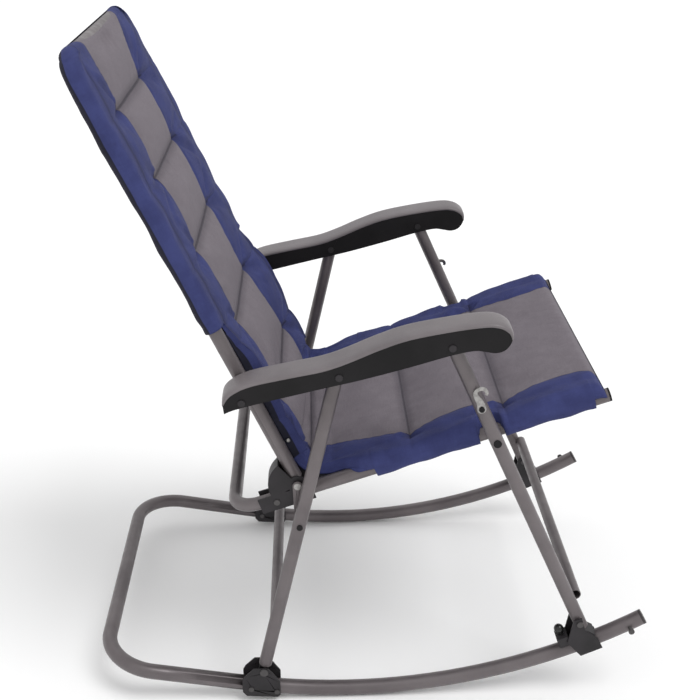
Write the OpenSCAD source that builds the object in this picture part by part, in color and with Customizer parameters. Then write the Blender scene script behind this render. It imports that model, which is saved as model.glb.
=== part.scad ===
// Folding camp rocking chair.
// +X is the direction the sitter faces, +Y the sitter's left, +Z up.
// The origin is on the floor, under the middle of the rocker base.

/* [Rocker base] */
// Length of the base over its rear bar and its front end caps
base_len = 931; // [915:1:945]
// Distance between the centrelines of the two rockers
rocker_gap = 534; // [530:1:540]
// Outer radius of the base tube
base_tube_r = 12.7; // [12:0.1:13]
// Radius of the rocker curve, at the tube's centreline
rocker_r = 970; // [940:5:1000]
// Angle of the front end of each rocker, from the lowest point
front_arc_deg = 30.6; // [30:0.1:31]
// Angle where the curve becomes the straight rear part
rear_arc_deg = 10.4; // [9:0.1:11]
// Bend radius of the base's rear corners
base_bend_r = 85; // [70:1:95]

/* [Frame tubes] */
// Outer radius of the leg, seat and back tubes
tube_r = 11; // [10.5:0.1:11]
// Wall thickness of all tubes
tube_wall = 1.2; // [1:0.1:1.6]
// Radius of the two bars that tie the legs together
crossbar_r = 9.5; // [8:0.5:10]
// Distance between the centrelines of the seat rails and of the back posts
seat_gap = 469.2; // [469:0.1:469.4]

/* [Side geometry] */
// Rear leg's foot pivot, forward of the origin
foot_x = -180.5; // [-183:0.5:-178]
// Rear leg's foot pivot, above the floor
foot_z = 62; // [60:0.5:64]
// Rear leg, from foot pivot to arm pivot
rear_leg_len = 575.7; // [570:0.5:580]
// Lean of the rear leg
rear_leg_deg = 77.15; // [76:0.05:78]
// Slope of the line through the three arm pivots
arm_deg = 15.2; // [14:0.1:16]
// Lean of the back posts and of the front legs
back_deg = 114.4; // [114:0.1:115]
// Arm, from back pivot to front leg pivot
arm_span = 321.1; // [318:0.1:324]
// Arm, from back pivot to rear leg pivot
arm_rear_span = 149.7; // [148:0.1:151]
// Back post, from seat hinge to arm pivot
post_span = 192; // [190:0.5:194]
// Back post, from seat hinge to top bar
back_len = 726; // [700:1:730]
// Front leg, from arm pivot to foot rivet
front_leg_len = 572; // [570:1:574]
// Height of the seat hinge above the rail's centreline
hinge_rise = 19.5; // [19.5:0.1:20.5]
// Rail, from the hinge's foot to the front end
rail_front = 507; // [500:1:512]
// Rail, from the hinge's foot to the rear bar
rail_rear = 116; // [110:1:120]

/* [Arms] */
// Inner face of the arm, from the middle of the chair
arm_inner_y = 253.5; // [253.4:0.1:253.6]
// Width of the arm
arm_w = 50; // [48:1:52]
// Side wall of the arm's shell
arm_wall = 2.2; // [2:0.1:2.2]
// Thickness of the arm's top cover
cover_t = 5; // [4:0.5:6]

/* [Soft parts] */
// Thickness of the seat and back pads
pad_t = 18; // [16:1:20]
// Half the width of the pads
pad_half_w = 217.5; // [210:0.5:217.5]
// Gap that each pad leaves at the hinge
pad_hinge_gap = 30; // [28:1:40]

/* [Hidden] */
$fn = 48;
LEFT = 1;
RIGHT = -1;

// Colours
tube_grey = [0.40, 0.38, 0.39];
bracket_black = [0.22, 0.21, 0.23];
cover_grey = [0.55, 0.51, 0.52];
steel_zinc = [0.72, 0.72, 0.72];
pad_blue = [0.28, 0.30, 0.52];

// Clearances and small fittings
run_gap = 0.05;
loose_gap = 0.6;
cap_t = 4;
plate_t = 2.5;
rivet_r = 3.5;
bolt_r = 4;
head_t = 1.8;
head_r = 7;
plug_reach = 8;
plug_tongue_t = 16;
plug_tongue_r = 9.5;
hinge_tongue_r = 8;
stem_len = 14;

// Planes across the chair
rocker_y = rocker_gap / 2;
leg_y = rocker_gap / 2;
rail_y = seat_gap / 2;

// Points in the side plane, as [x, z]
function step(p, deg, dist) = [p[0] + dist * cos(deg), p[1] + dist * sin(deg)];
foot = [foot_x, foot_z];
arm_mid = step(foot, rear_leg_deg, rear_leg_len);
arm_rear = step(arm_mid, arm_deg, -arm_rear_span);
arm_front = step(arm_rear, arm_deg, arm_span);
hinge = step(arm_rear, back_deg, -post_span);
seat_pivot = step(hinge, arm_deg, arm_span);
rail_deg = arm_deg + asin(hinge_rise / arm_span);
hinge_base = step(hinge, rail_deg - 90, hinge_rise);
link_foot_dist = 293;
link_foot = step(foot, rear_leg_deg, link_foot_dist);
front_foot = step(arm_front, back_deg, -front_leg_len);
hook_pivot_dist = 124.5;
hook_pivot = step(arm_front, back_deg, -hook_pivot_dist);

// The rocker curve
arc_z = rocker_r + base_tube_r;
arc_x = base_len / 2 - (rocker_r + base_tube_r) * sin(front_arc_deg) - cap_t * cos(front_arc_deg);
function on_rocker(deg, lift = 0) = [
    arc_x + (rocker_r - lift) * sin(deg),
    arc_z - (rocker_r - lift) * cos(deg)
];
rear_start = on_rocker(-rear_arc_deg);
rear_len = (rear_start[0] + base_len / 2 - base_tube_r) / cos(rear_arc_deg);
stud_deg = 29.2;
pin_deg = 22.6;
pin_r = 3;
pin_travel = 10;

// ---- Shared shapes ----

// A tube along +Z
module pipe(len, r) {
    difference() {
        cylinder(h = len, r = r);
        translate([0, 0, -1]) cylinder(h = len + 2, r = r - tube_wall);
    }
}

// A tube between two points of the side plane, in the plane y
module side_pipe(p, q, y, r) {
    len = norm(q - p);
    translate([p[0], y, p[1]])
        rotate([0, atan2(q[0] - p[0], q[1] - p[1]), 0])
            pipe(len, r);
}

// A solid rod along +Y at a point of the side plane
module y_rod(p, y0, y1, r) {
    translate([p[0], y0, p[1]])
        rotate([-90, 0, 0])
            cylinder(h = y1 - y0, r = r);
}

// A plate: a side-plane outline from y0 to y1
module slab(y0, y1) {
    translate([0, y1, 0])
        rotate([90, 0, 0])
            linear_extrude(y1 - y0)
                children();
}

// A flat bar outline with round ends
module bar_outline(p, q, r) {
    translate(p) circle(r);
    translate(q) circle(r);
    translate(p)
        rotate(atan2(q[1] - p[1], q[0] - p[0]))
            translate([0, -r])
                square([norm(q - p), 2 * r]);
}

module on_side(side) {
    mirror([0, side == LEFT ? 0 : 1, 0]) children();
}

module both_sides() {
    for (side = [LEFT, RIGHT]) on_side(side) children();
}

// Three sides of a rectangle in one tube: open ends at x = 0, bar at x = len
module u_tube(len, half_w, bend_r, r) {
    for (side = [LEFT, RIGHT])
        on_side(side) {
            translate([0, half_w, 0])
                rotate([0, 90, 0])
                    pipe(len - bend_r, r);
            translate([len - bend_r, half_w - bend_r, 0])
                rotate_extrude(angle = 90, $fn = 96)
                    translate([bend_r, 0])
                        difference() {
                            circle(r, $fn = 48);
                            circle(r - tube_wall, $fn = 48);
                        }
        }
    translate([len, bend_r - half_w, 0])
        rotate([-90, 0, 0])
            pipe(2 * (half_w - bend_r), r);
}

// A rivet or bolt across the chair, with a round head on each end
module headed_pin(p, y0, y1, r, head = head_r) {
    y_rod(p, y0, y1, r);
    y_rod(p, y0 - head_t, y0, head);
    y_rod(p, y1, y1 + head_t, head);
}

// A plug in the end of a tube, with a drilled tongue round the pivot p.
// The tube lies in the direction deg from the pivot.
module tongue_plug(p, deg, y, tongue, bore) {
    neck = tongue - 0.6;
    slab(y - plug_tongue_t / 2, y + plug_tongue_t / 2)
        translate(p)
            rotate(deg)
                difference() {
                    union() {
                        circle(tongue);
                        translate([0, -neck]) square([plug_reach, 2 * neck]);
                    }
                    circle(bore);
                }
    translate([p[0], y, p[1]])
        rotate([0, 90 - deg, 0])
            translate([0, 0, plug_reach - 1])
                cylinder(h = stem_len + 1, r = tube_r - tube_wall);
}

// ---- Rocker base ----

bracket_outer_gap = base_tube_r + 0.5;
screw_r = 2.5;
screw_degs = [-9.8, -7.2];

module rocker_base_tube() color(tube_grey) {
    difference() {
        union() {
            both_sides()
                translate([arc_x, rocker_y, arc_z])
                    rotate([90, 0, 0])
                        rotate([0, 0, -90 - rear_arc_deg])
                            rotate_extrude(angle = rear_arc_deg + front_arc_deg, $fn = 480)
                                translate([rocker_r, 0])
                                    difference() {
                                        circle(base_tube_r, $fn = 48);
                                        circle(base_tube_r - tube_wall, $fn = 48);
                                    }
            translate([rear_start[0], 0, rear_start[1]])
                rotate([0, rear_arc_deg, 0])
                    rotate([0, 0, 180])
                        u_tube(rear_len, rocker_y, base_bend_r, base_tube_r);
        }
        both_sides() {
            for (deg = screw_degs)
                y_rod(on_rocker(deg), rocker_y - 20, rocker_y + 20, screw_r + run_gap);
            y_rod(on_rocker(stud_deg), rocker_y, rocker_y + 20, rivet_r);
            pin_hole();
        }
    }
}

// The lock pin's hole, in the top wall of the rocker
module pin_hole() {
    p = on_rocker(pin_deg);
    translate([p[0], rocker_y, p[1]])
        rotate([0, -pin_deg, 0])
            cylinder(h = 20, r = pin_r + loose_gap);
}

module rocker_end_caps() color(bracket_black)
    both_sides() {
        p = on_rocker(front_arc_deg);
        translate([p[0], rocker_y, p[1]])
            rotate([0, 90 - front_arc_deg, 0]) {
                cylinder(h = cap_t, r = base_tube_r);
                translate([0, 0, -10]) cylinder(h = 10, r = base_tube_r - tube_wall - 0.2);
            }
    }

module rocker_latch_studs() color(steel_zinc)
    both_sides() {
        p = on_rocker(stud_deg);
        y_rod(p, rocker_y + 4, rocker_y + base_tube_r + 9, rivet_r);
        y_rod(p, rocker_y + base_tube_r + 9, rocker_y + base_tube_r + 12, 5);
    }

// Eight-sided plate beside the rocker that carries the rear leg's foot
module leg_bracket_plate(side, outer) color(bracket_black) on_side(side) {
    low = on_rocker(-8.6, -11.5);
    y0 = outer ? leg_y + bracket_outer_gap : leg_y - bracket_outer_gap - plate_t;
    difference() {
        slab(y0, y0 + plate_t)
            translate(low)
                polygon([
                    [-26, 0], [26, -4], [31, 1], [31, 29], [19, 47],
                    [11, 57], [-13, 57], [-29, 41], [-33, 33], [-33, 9]
                ]);
        y_rod(foot, y0 - 1, y0 + 10, bolt_r + run_gap);
        for (deg = screw_degs) y_rod(on_rocker(deg), y0 - 1, y0 + 10, screw_r + run_gap);
    }
}

module leg_bracket_screws() color(steel_zinc)
    both_sides()
        for (deg = screw_degs) {
            reach = bracket_outer_gap + plate_t;
            headed_pin(on_rocker(deg), leg_y - reach, leg_y + reach, screw_r, 4.5);
        }

module rear_leg_pivot_pins() color(steel_zinc)
    both_sides() {
        reach = bracket_outer_gap + plate_t;
        headed_pin(foot, leg_y - reach, leg_y + reach, bolt_r);
    }

// ---- Rear legs ----

rear_bar_dist = 95.4;

module rear_leg_frame() color(tube_grey) {
    low = step(foot, rear_leg_deg, plug_reach);
    high = step(foot, rear_leg_deg, rear_leg_len - plug_reach);
    bar = step(foot, rear_leg_deg, rear_bar_dist);
    difference() {
        union() {
            both_sides() side_pipe(low, high, leg_y, tube_r);
            tie_bar(bar);
        }
        both_sides() y_rod(link_foot, leg_y - 20, leg_y + 20, 3 + run_gap);
    }
}

// A bar across the chair, from leg to leg
module tie_bar(p) {
    half = leg_y - 5;
    translate([p[0], -half, p[1]])
        rotate([-90, 0, 0])
            pipe(2 * half, crossbar_r);
}

module rear_leg_foot_plugs() color(bracket_black)
    both_sides() tongue_plug(foot, rear_leg_deg, leg_y, plug_tongue_r, bolt_r + run_gap);

module rear_leg_top_plugs() color(bracket_black)
    both_sides()
        tongue_plug(arm_mid, rear_leg_deg + 180, leg_y, plug_tongue_r, rivet_r + run_gap);

link_y = 251.6;
link_t = 3;
link_pin_r = 3;

module link_pivot_pins() color(steel_zinc)
    both_sides() {
        y_rod(link_foot, link_y - 0.5, leg_y + tube_r + 1, link_pin_r);
        y_rod(link_foot, link_y - 0.5, link_y - 0.1, 5);
        y_rod(link_foot, link_y + link_t + 0.2, leg_y - tube_r - 0.1, 5);
        y_rod(link_foot, leg_y + tube_r, leg_y + tube_r + head_t, 5);
    }

// ---- Arms ----

// Points of the arm's outline, along and above the line of its pivots
arm_top_points = [
    [-28, 3], [-12, 16], [20, 22.5], [76, 20], [130, 16.5], [170, 19.5],
    [217, 26.5], [263, 30], [323, 26], [372, 19.5], [394, 12], [406, 0]
];
arm_nose_points = [[408, -12], [396, -24], [381, -25.5], [366, -19], [350, -13]];
arm_low_points = [[314, -11], [252, -12.5], [178, -12.5], [110, -10], [0, -7.5], [-30, -10]];

// A smooth curve through a list of points
function blend4(a, b, c, d, t) =
    0.5 * (2 * b + (c - a) * t + (2 * a - 5 * b + 4 * c - d) * t * t
        + (3 * b - a - 3 * c + d) * t * t * t);
function smooth(pts, steps = 4) = [
    for (i = [0 : len(pts) - 2])
        for (j = [0 : steps - 1])
            blend4(pts[max(i - 1, 0)], pts[i], pts[i + 1], pts[min(i + 2, len(pts) - 1)], j / steps),
    pts[len(pts) - 1]
];
arm_curve = smooth(concat(arm_top_points, arm_nose_points, arm_low_points), 4);
cover_curve = [for (i = [0 : 4 * (len(arm_top_points) - 1)]) arm_curve[i]];

// Places an outline drawn along the arm's pivots into the side plane
module arm_frame() {
    translate(arm_rear) rotate(arm_deg) children();
}

module arm_shell(side) color(bracket_black) on_side(side) {
    y0 = arm_inner_y;
    y1 = arm_inner_y + arm_w;
    difference() {
        slab(y0, y1) arm_frame() polygon(arm_curve);
        slab(y0 + arm_wall, y1 - arm_wall)
            arm_frame()
                polygon(concat(
                    [for (p = cover_curve) if (p[0] > -14 && p[0] < 385) p - [0, 3]],
                    [[385, -40], [-14, -40]]
                ));
        for (p = [arm_rear, arm_mid, arm_front]) y_rod(p, y0 - 5, y1 + 5, rivet_r + run_gap);
    }
}

// The light top cover, a strip that follows the top of the shell
module arm_cover(side) color(cover_grey) on_side(side)
    slab(arm_inner_y - 0.5, arm_inner_y + arm_w + 0.5)
        arm_frame()
            polygon(concat(
                cover_curve,
                [[411, -6], [411.5, 1], [399, 15.5], [375, 24.5]],
                [for (i = [len(cover_curve) - 10 : -1 : 8]) cover_curve[i] + [0, cover_t]],
                [[-15, 21], [-31, 8]]
            ));

module arm_pivot_rivets() color(steel_zinc)
    both_sides() {
        y1 = arm_inner_y + arm_w;
        for (p = [arm_mid, arm_front]) headed_pin(p, arm_inner_y, y1, rivet_r, 5.5);
        headed_pin(arm_rear, rail_y - tube_r - 0.4, y1, rivet_r, 5.5);
    }

// Washers between the arm and the back post
module arm_spacers() color(bracket_black)
    both_sides()
        difference() {
            y_rod(arm_rear, rail_y + tube_r + 0.3, arm_inner_y, 9);
            y_rod(arm_rear, rail_y, arm_inner_y + 1, rivet_r);
        }

// ---- Back ----

module in_back_frame() {
    translate([hinge[0], 0, hinge[1]])
        rotate([0, -back_deg, 0])
            children();
}

back_bend_r = 40;

module back_frame_tube() color(tube_grey)
    difference() {
        in_back_frame()
            translate([plug_reach, 0, 0])
                u_tube(back_len - plug_reach, rail_y, back_bend_r, tube_r);
        both_sides() y_rod(arm_rear, rail_y - 20, rail_y + 20, rivet_r + run_gap);
    }

module back_post_plugs() color(bracket_black)
    both_sides() tongue_plug(hinge, back_deg, rail_y, hinge_tongue_r, bolt_r + run_gap);

// A flat cushion with two round corners at its far end
module pad_body(x0, x1, corner) {
    translate([0, 0, -pad_t / 2])
        linear_extrude(pad_t) {
            translate([x0, -pad_half_w]) square([x1 - corner - x0, 2 * pad_half_w]);
            translate([x1 - corner - 1, corner - pad_half_w])
                square([corner + 1, 2 * (pad_half_w - corner)]);
            for (side = [LEFT, RIGHT])
                translate([x1 - corner, side * (pad_half_w - corner)]) circle(corner);
        }
}

module back_pad() color(pad_blue)
    in_back_frame() pad_body(pad_hinge_gap, back_len - tube_r - 2, 27);

// ---- Front legs ----

front_bar_dist = 527;
front_bar_lead = 12;
saddle_gap = base_tube_r + 0.8;

module front_leg_frame() color(tube_grey) {
    low = step(front_foot, back_deg, -16);
    high = step(arm_front, back_deg, -plug_reach);
    on_leg = step(arm_front, back_deg, -front_bar_dist);
    difference() {
        union() {
            both_sides() side_pipe(low, high, leg_y, tube_r);
            tie_bar(step(on_leg, back_deg - 90, front_bar_lead));
        }
        both_sides() {
            y_rod(seat_pivot, leg_y - 20, leg_y + 20, bolt_r + run_gap);
            y_rod(hook_pivot, leg_y, leg_y + 20, link_pin_r);
            y_rod(front_foot, leg_y - 20, leg_y + 20, rivet_r + run_gap);
        }
    }
}

module front_leg_top_plugs() color(bracket_black)
    both_sides()
        tongue_plug(arm_front, back_deg + 180, leg_y, plug_tongue_r, rivet_r + run_gap);

// Open-bottomed shoe that stands astride the rocker
module foot_saddle(side) color(bracket_black) on_side(side) {
    outline = [
        step(front_foot, 150, 13), step(front_foot, 80, 12), on_rocker(25.1, 34),
        on_rocker(25.9, 8), on_rocker(25.9, -13.8), on_rocker(23.6, -13.8), on_rocker(22.9, 22)
    ];
    difference() {
        union() {
            for (y0 = [leg_y - saddle_gap - plate_t, leg_y + saddle_gap])
                slab(y0, y0 + plate_t) polygon(outline);
            slab(leg_y - saddle_gap - 1, leg_y + saddle_gap + 1)
                polygon([
                    outline[2], on_rocker(25.85, 16), on_rocker(25.65, 16), on_rocker(24.9, 34)
                ]);
        }
        y_rod(front_foot, leg_y - 30, leg_y + 30, rivet_r + run_gap);
    }
}

module saddle_rivets() color(steel_zinc)
    both_sides() {
        reach = saddle_gap + plate_t;
        headed_pin(front_foot, leg_y - reach, leg_y + reach, rivet_r, 5.5);
    }

// The frame of a lock pin: origin on the rocker's centreline, +Z out of the rocker
module pin_frame(side) on_side(side) {
    p = on_rocker(pin_deg);
    translate([p[0], rocker_y, p[1]])
        rotate([0, -pin_deg, 0])
            children();
}

housing_w = 20;
housing_low = base_tube_r + 1;
housing_top = 40;

// Block behind the saddle that guides the lock pin
module pin_housing(side) color(bracket_black)
    difference() {
        pin_frame(side)
            translate([-housing_w / 2, -saddle_gap, housing_low])
                cube([housing_w, 2 * saddle_gap, housing_top - housing_low - 8]);
        pin_frame(side) cylinder(h = 80, r = pin_r + run_gap);
        on_side(side) side_block(front_foot);
    }

// The space that the front leg's foot takes out of the housing
module side_block(p) {
    translate([p[0], leg_y, p[1]])
        rotate([0, -back_deg, 0])
            translate([-40, 0, 0])
                rotate([0, 90, 0])
                    cylinder(h = 100, r = tube_r + 0.3);
}

module lock_pin(side) color(steel_zinc)
    pin_frame(side)
        translate([0, 0, base_tube_r - 6])
            cylinder(h = housing_top - base_tube_r + 6, r = pin_r);

module pull_knob(side) color(bracket_black)
    pin_frame(side) {
        difference() {
            union() {
                translate([0, 0, housing_top + 4]) sphere(8.2);
                translate([0, 0, housing_top - 6]) cylinder(h = 8, r = 5);
            }
            cylinder(h = housing_top, r = pin_r);
        }
    }

module seat_pivot_bolts() color(steel_zinc)
    both_sides() {
        y0 = rail_y - tube_r - 0.4;
        headed_pin(seat_pivot, y0, leg_y + tube_r, bolt_r, 6.5);
    }

module seat_pivot_spacers() color(bracket_black)
    both_sides()
        difference() {
            y_rod(seat_pivot, rail_y + tube_r + 0.3, leg_y - tube_r, 9);
            y_rod(seat_pivot, rail_y, leg_y, bolt_r);
        }

hook_y = leg_y + tube_r + 0.4;
hook_t = 2;

module hook_rivets() color(steel_zinc)
    both_sides() {
        y_rod(hook_pivot, leg_y + 4, hook_y + hook_t + 0.3, link_pin_r);
        y_rod(hook_pivot, hook_y + hook_t + 0.3, hook_y + hook_t + 2, 4.5);
    }

// Sheet steel hook on the outside of the front leg; its mouth opens forward
module latch_hook(side) color(steel_zinc) on_side(side)
    difference() {
        slab(hook_y, hook_y + hook_t)
            translate(hook_pivot)
                rotate(back_deg - 90) {
                    circle(7);
                    translate([-5.5, 0]) square([11, 18]);
                    translate([-10, 16]) square([9, 26]);
                    translate([-10, 16]) square([16, 9]);
                    translate([-10, 34]) square([19, 8]);
                    translate([9, 38]) circle(4);
                }
        y_rod(hook_pivot, hook_y - 1, hook_y + 10, link_pin_r + run_gap);
    }

// ---- Seat ----

// The seat's frame: origin at the hinge's foot on the rail, +X along the rail
module in_seat_frame() {
    translate([hinge_base[0], 0, hinge_base[1]])
        rotate([0, -rail_deg, 0])
            children();
}

seat_bend_r = 45;
hinge_rivet_back = 42;

module seat_frame_tube() color(tube_grey)
    difference() {
        in_seat_frame()
            translate([rail_front, 0, 0])
                rotate([0, 0, 180])
                    u_tube(rail_front + rail_rear, rail_y, seat_bend_r, tube_r);
        both_sides() {
            y_rod(seat_pivot, rail_y - 20, rail_y + 20, bolt_r + loose_gap);
            y_rod(step(hinge_base, rail_deg, -hinge_rivet_back), rail_y - 20, rail_y + 20, rivet_r);
        }
    }

module rail_end_caps() color(bracket_black)
    in_seat_frame()
        both_sides()
            translate([rail_front, rail_y, 0])
                rotate([0, 90, 0]) {
                    cylinder(h = 3, r = tube_r);
                    translate([0, 0, -10]) cylinder(h = 10, r = tube_r - tube_wall - 0.2);
                }

// Fan-shaped hinge bracket: two plates that hold the rail, and a curved rear wall
fan_r = 47;
fan_from_deg = back_deg + 17;
fan_to_deg = rail_deg + 180 + 14;

module fan_outline() {
    intersection() {
        translate(hinge) circle(fan_r, $fn = 96);
        translate(hinge)
            polygon([
                [0, 0],
                for (deg = [fan_from_deg : (fan_to_deg - fan_from_deg) / 4 : fan_to_deg])
                    1.6 * fan_r * [cos(deg), sin(deg)]
            ]);
    }
}

module hinge_plate_outline() {
    fan_outline();
    translate(hinge) circle(15);
    translate(hinge_base)
        rotate(rail_deg)
            translate([-70, -13.5])
                square([90, 27]);
    bar_outline(hinge, hinge_base, 15);
}

module hinge_bracket(side) color(bracket_black) on_side(side) {
    inner = rail_y - tube_r - 0.4 - plate_t;
    outer = rail_y + tube_r + 0.7;
    difference() {
        union() {
            for (y0 = [inner, outer])
                slab(y0, y0 + plate_t) hinge_plate_outline();
            slab(inner + 1, outer + 1)
                difference() {
                    fan_outline();
                    translate(hinge) circle(fan_r - 2.5, $fn = 96);
                    translate(hinge_base)
                        rotate(rail_deg)
                            translate([-90, -30])
                                square([120, 30 + tube_r + 0.5]);
                }
        }
        y_rod(hinge, 200, 270, bolt_r + run_gap);
        y_rod(step(hinge_base, rail_deg, -hinge_rivet_back), 200, 270, rivet_r);
    }
}

module hinge_bracket_rivets() color(steel_zinc)
    both_sides() {
        p = step(hinge_base, rail_deg, -hinge_rivet_back);
        y0 = rail_y - tube_r - 0.4 - plate_t;
        headed_pin(p, y0, rail_y + tube_r + 0.7 + plate_t, rivet_r, 5);
    }

module back_pivot_bolts() color(steel_zinc)
    both_sides() {
        y0 = rail_y - tube_r - 0.4 - plate_t;
        headed_pin(hinge, y0, rail_y + tube_r + 0.7 + plate_t, bolt_r);
    }

module seat_pad() color(pad_blue)
    in_seat_frame() pad_body(pad_hinge_gap, rail_front - 10, 8);

// ---- Stay links ----

module stay_link(side) color(tube_grey) on_side(side)
    difference() {
        slab(link_y, link_y + link_t) bar_outline(link_foot, hinge, 8);
        y_rod(link_foot, link_y - 1, link_y + 5, link_pin_r + run_gap);
        y_rod(hinge, link_y - 1, link_y + 5, rivet_r);
    }

module link_rivets() color(steel_zinc)
    both_sides() {
        y_rod(hinge, link_y, link_y + link_t, rivet_r);
        y_rod(hinge, link_y + link_t, link_y + link_t + 1, 6);
    }

// ---- Parts ----

rocker_base_tube();
rocker_end_caps();
rocker_latch_studs();
leg_bracket_plate(LEFT, true);  // left_leg_bracket_outer
leg_bracket_plate(LEFT, false);  // left_leg_bracket_inner
leg_bracket_plate(RIGHT, true);  // right_leg_bracket_outer
leg_bracket_plate(RIGHT, false);  // right_leg_bracket_inner
leg_bracket_screws();
rear_leg_pivot_pins();
rear_leg_frame();
rear_leg_foot_plugs();
rear_leg_top_plugs();
link_pivot_pins();
arm_shell(LEFT);  // left_arm_shell
arm_shell(RIGHT);  // right_arm_shell
arm_cover(LEFT);  // left_arm_cover
arm_cover(RIGHT);  // right_arm_cover
arm_pivot_rivets();
arm_spacers();
back_frame_tube();
back_post_plugs();
back_pad();
front_leg_frame();
front_leg_top_plugs();
foot_saddle(LEFT);  // left_foot_saddle
foot_saddle(RIGHT);  // right_foot_saddle
saddle_rivets();
pin_housing(LEFT);  // left_pin_housing
pin_housing(RIGHT);  // right_pin_housing
seat_pivot_bolts();
seat_pivot_spacers();
hook_rivets();
pull_knob(LEFT);  // left_pull_knob
pull_knob(RIGHT);  // right_pull_knob
lock_pin(LEFT);  // left_lock_pin
lock_pin(RIGHT);  // right_lock_pin
latch_hook(LEFT);  // left_latch_hook
latch_hook(RIGHT);  // right_latch_hook
seat_frame_tube();
rail_end_caps();
hinge_bracket(LEFT);  // left_hinge_bracket
hinge_bracket(RIGHT);  // right_hinge_bracket
hinge_bracket_rivets();
back_pivot_bolts();
seat_pad();
stay_link(LEFT);  // left_stay_link
stay_link(RIGHT);  // right_stay_link
link_rivets();
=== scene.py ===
"""Camp rocking chair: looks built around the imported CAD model. Metres, +X forward, +Z up."""

import math

import bmesh
import bpy
import numpy as np
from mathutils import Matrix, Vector, noise


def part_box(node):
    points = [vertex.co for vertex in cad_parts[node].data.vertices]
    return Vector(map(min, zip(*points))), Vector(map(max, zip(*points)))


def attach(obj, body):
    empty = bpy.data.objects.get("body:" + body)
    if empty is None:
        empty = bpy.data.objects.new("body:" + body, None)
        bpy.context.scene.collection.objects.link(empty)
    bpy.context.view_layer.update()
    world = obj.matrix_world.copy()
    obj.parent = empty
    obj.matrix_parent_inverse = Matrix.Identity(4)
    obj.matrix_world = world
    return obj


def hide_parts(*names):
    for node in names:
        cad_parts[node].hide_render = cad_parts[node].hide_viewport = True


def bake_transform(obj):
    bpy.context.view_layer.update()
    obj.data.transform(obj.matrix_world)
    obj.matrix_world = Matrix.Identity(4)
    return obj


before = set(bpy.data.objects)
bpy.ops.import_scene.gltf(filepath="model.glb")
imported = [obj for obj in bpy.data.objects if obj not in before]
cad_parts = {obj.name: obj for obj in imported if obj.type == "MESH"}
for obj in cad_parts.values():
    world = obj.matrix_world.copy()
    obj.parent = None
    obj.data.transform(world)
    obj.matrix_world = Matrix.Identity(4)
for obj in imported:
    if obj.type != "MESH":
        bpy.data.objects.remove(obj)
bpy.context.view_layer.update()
MM = 0.001


# ---- Places taken from the frame ----

def mid(node):
    low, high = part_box(node)
    return (low + high) / 2


# Lengths below are in millimetres. Distances along the seat and back start at the hinge.
HINGE = mid("back_pivot_bolts")
TUBE_R = 11.0
RAIL_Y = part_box("seat_frame_tube")[1].y / MM - TUBE_R
BACK_LEAN = math.radians(114.4)
RAIL_TILT = math.radians(18.68)
HINGE_RISE = 19.5                               # hinge bolt above the rail's centreline
BAR_AT = 726.0                                  # top bar's centreline
CORNER_R = 40.0                                 # bend between post and top bar


# ---- Stage ----

CAMERA_PLACE = (-0.0909, -1.7759, 1.346)
CAMERA_LENS = 57.6
LOOK_DOWN = math.radians(24.7)
LOOK_RIGHT = math.radians(2.1175)
FLOOR_HALF = 30
WORLD_LIGHT = 0.78


def look_camera():
    data = bpy.data.cameras.new("camera")
    data.sensor_width = 36
    data.lens = CAMERA_LENS
    camera = bpy.data.objects.new("camera", data)
    camera.location = CAMERA_PLACE
    camera.rotation_euler = (math.radians(90) - LOOK_DOWN, 0, -LOOK_RIGHT)
    bpy.context.scene.collection.objects.link(camera)
    bpy.context.scene.camera = camera


def soft_sun(name, place, target, spread, power):
    """A very wide sun: soft studio light that is the same all over the floor."""
    data = bpy.data.lights.new(name, "SUN")
    data.angle = math.radians(spread)
    data.energy = power
    lamp = bpy.data.objects.new(name, data)
    lamp.location = place
    lamp.rotation_euler = (Vector(target) - Vector(place)).to_track_quat("-Z", "Y").to_euler()
    bpy.context.scene.collection.objects.link(lamp)


def new_object(name, verts, faces):
    mesh = bpy.data.meshes.new(name)
    mesh.from_pydata([tuple(v) for v in verts], [], faces)
    mesh.polygons.foreach_set("use_smooth", [True] * len(mesh.polygons))
    obj = bpy.data.objects.new(name, mesh)
    bpy.context.scene.collection.objects.link(obj)
    return obj


def face_outwards(obj):
    bm = bmesh.new()
    bm.from_mesh(obj.data)
    bmesh.ops.recalc_face_normals(bm, faces=bm.faces)
    bm.to_mesh(obj.data)
    bm.free()


def soft_edges(obj, width, angle):
    """Rounds every edge sharper than the angle."""
    bevel = obj.modifiers.new("edge", "BEVEL")
    bevel.width = width
    bevel.segments = 3
    bevel.limit_method = "ANGLE"
    bevel.angle_limit = math.radians(angle)
    bevel.use_clamp_overlap = True


def ring_faces(rings, count):
    """The faces between rings of points, each ring with the same number of points."""
    faces = []
    for i in range(rings - 1):
        for k in range(count):
            a, b = i * count + k, i * count + (k + 1) % count
            faces.append((a, b, b + count, a + count))
    return faces


def stage_floor():
    corners = [(-1, -1), (1, -1), (1, 1), (-1, 1)]
    floor = new_object("floor", [(x * FLOOR_HALF, y * FLOOR_HALF, 0) for x, y in corners], [(0, 1, 2, 3)])
    floor.data.materials.append(pale_floor())
    return floor


def white_world():
    world = bpy.data.worlds.new("studio")
    bpy.context.scene.world = world
    world.use_nodes = True
    background = world.node_tree.nodes["Background"]
    background.inputs["Color"].default_value = (1, 1, 1, 1)
    background.inputs["Strength"].default_value = WORLD_LIGHT


# ---- Material helpers ----

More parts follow.
